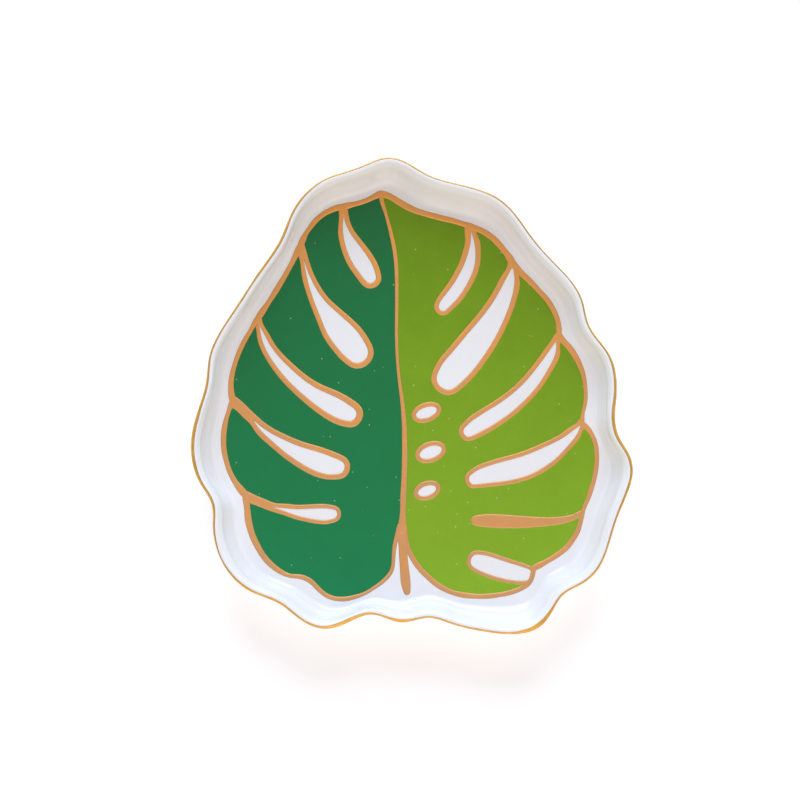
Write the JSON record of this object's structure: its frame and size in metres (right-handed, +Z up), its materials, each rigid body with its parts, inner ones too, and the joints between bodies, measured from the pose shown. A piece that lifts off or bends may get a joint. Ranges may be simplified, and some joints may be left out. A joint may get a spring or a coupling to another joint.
{
  "type": "ring dish",
  "caption": "Shallow leaf-shaped glazed porcelain dish with a wavy raised rim, a gold lip and a two-tone split leaf printed on its floor.",
  "frame": {"origin": "on the table, under the middle of the dish's bounding box", "axes": "+Z up out of the dish, +Y towards the leaf's pointed tip, +X to the light green half"},
  "size_m": [0.1172, 0.1278, 0.015],
  "materials": {
    "porcelain": "fired white porcelain, unglazed where it meets the table",
    "white_glaze": "smooth glossy transparent glaze over white porcelain",
    "rim_gold": "hand-brushed bright gold lustre, slightly uneven",
    "print_gold": "satin copper-gold overglaze print",
    "dark_green_enamel": "glossy overglaze enamel, dark green",
    "light_green_enamel": "glossy overglaze enamel, light green"
  },
  "bodies": {
    "root": {"porcelain_body": "porcelain", "white_glaze": "white_glaze", "rim_gold_band": "rim_gold", "dark_leaf_half": "dark_green_enamel", "light_leaf_half": "light_green_enamel", "leaf_outline_left": "print_gold", "leaf_outline_right": "print_gold", "midrib_line": "print_gold", "stem_line": "print_gold", "slot_outline_left_1": "print_gold", "slot_outline_left_2": "print_gold", "slot_outline_left_3": "print_gold", "slot_outline_left_4": "print_gold", "slot_outline_left_5": "print_gold", "slot_outline_right_1": "print_gold", "slot_outline_right_2": "print_gold", "slot_outline_right_3": "print_gold", "slot_outline_right_4": "print_gold", "slot_outline_right_5": "print_gold", "side_vein_bar": "print_gold", "spot_ring_1": "print_gold", "spot_ring_2": "print_gold", "spot_ring_3": "print_gold"}
  },
  "joints": []
}
